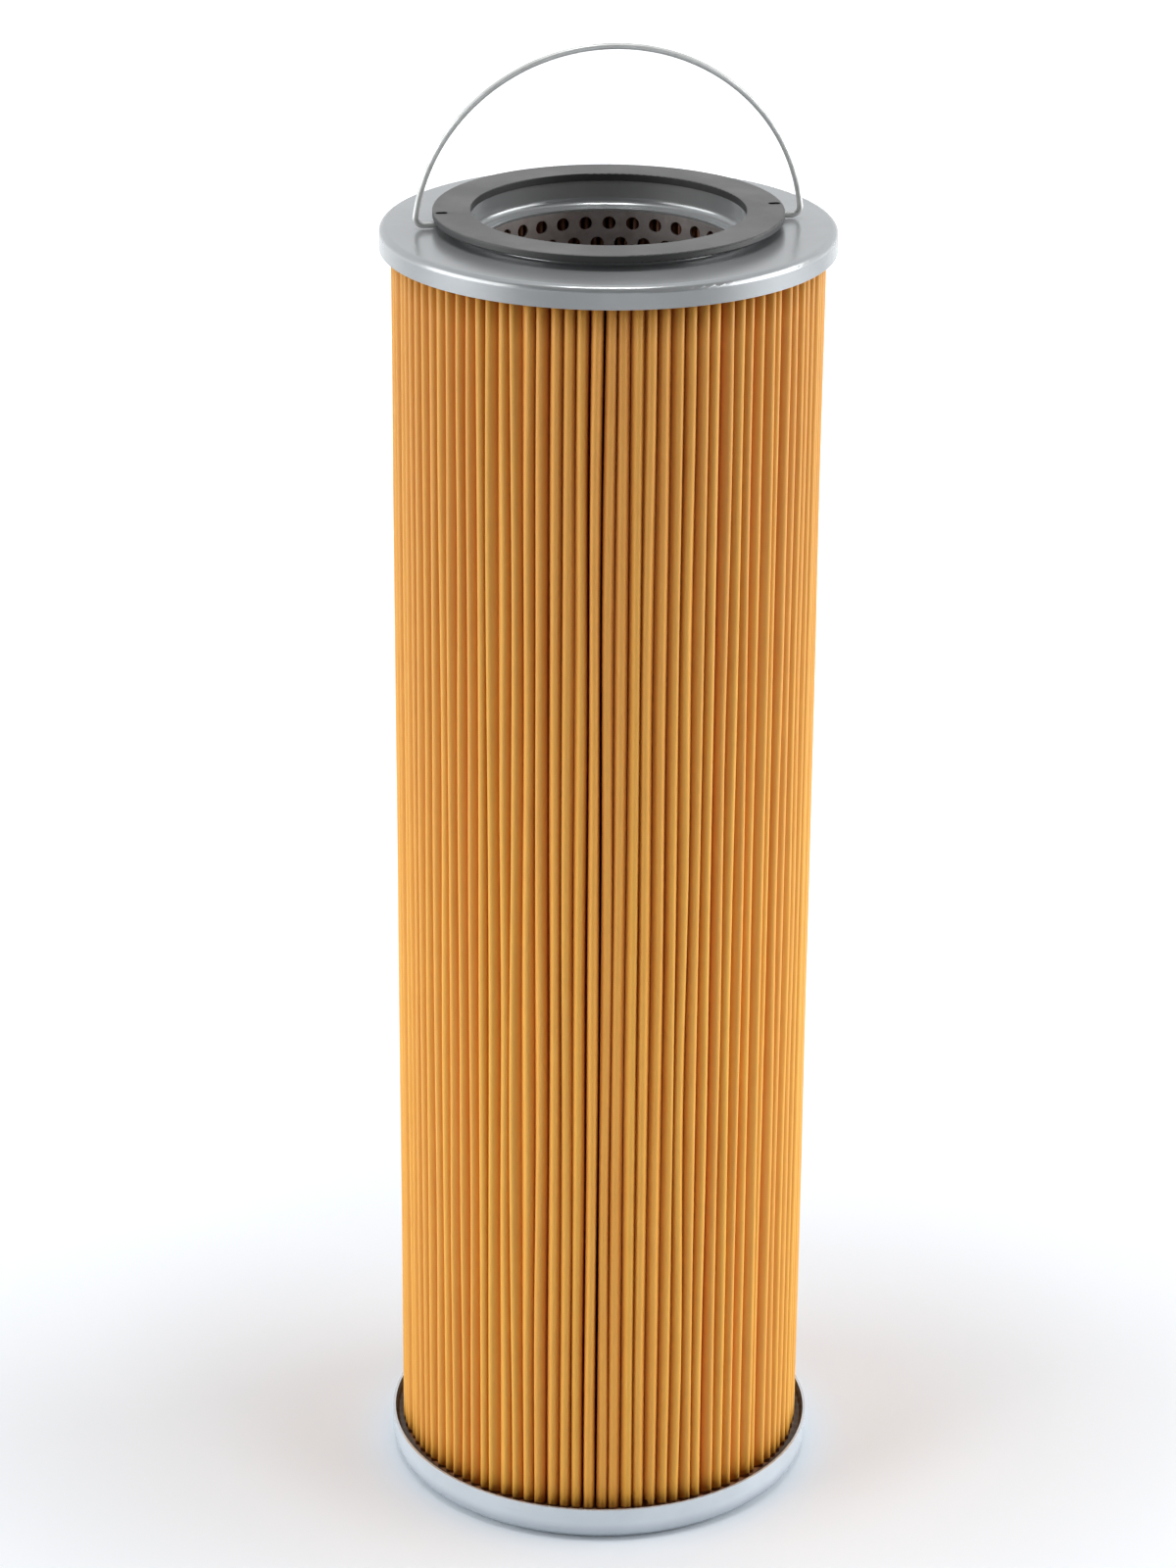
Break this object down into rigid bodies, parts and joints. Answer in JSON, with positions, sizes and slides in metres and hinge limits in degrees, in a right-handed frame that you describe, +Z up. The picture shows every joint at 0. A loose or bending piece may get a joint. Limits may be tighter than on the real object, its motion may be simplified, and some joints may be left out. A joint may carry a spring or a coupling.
{
  "type": "pleated filter element",
  "caption": "Tall pleated paper oil filter element with steel end caps, an open gasketed top, a closed bottom and a wire lifting bail.",
  "frame": {"origin": "centre of the standing face", "axes": "+Z up along the element's axis, X along the line of the bail's feet"},
  "size_m": [0.15, 0.15, 0.515],
  "materials": {
    "cap_steel": "smooth silver-grey coated sheet steel",
    "core_steel": "dull perforated sheet steel",
    "bail_wire": "drawn zinc-plated wire",
    "gasket_rubber": "black moulded nitrile, matt",
    "filter_paper": "resin-cured amber filter paper",
    "adhesive": "dark cured adhesive"
  },
  "bodies": {
    "element": {"bottom_end_cap": "cap_steel", "bottom_potting": "adhesive", "core_tube": "core_steel", "pleated_media": "filter_paper", "top_potting": "adhesive", "top_end_cap": "cap_steel", "gasket": "gasket_rubber"},
    "bail": {"bail_handle": "bail_wire"}
  },
  "joints": [
    {"name": "bail_swing", "type": "hinge", "parent": "element", "child": "bail", "pos_m": [0, 0, 0.4553], "axis": [1, 0, 0], "range_deg": [-96, 84]}
  ]
}
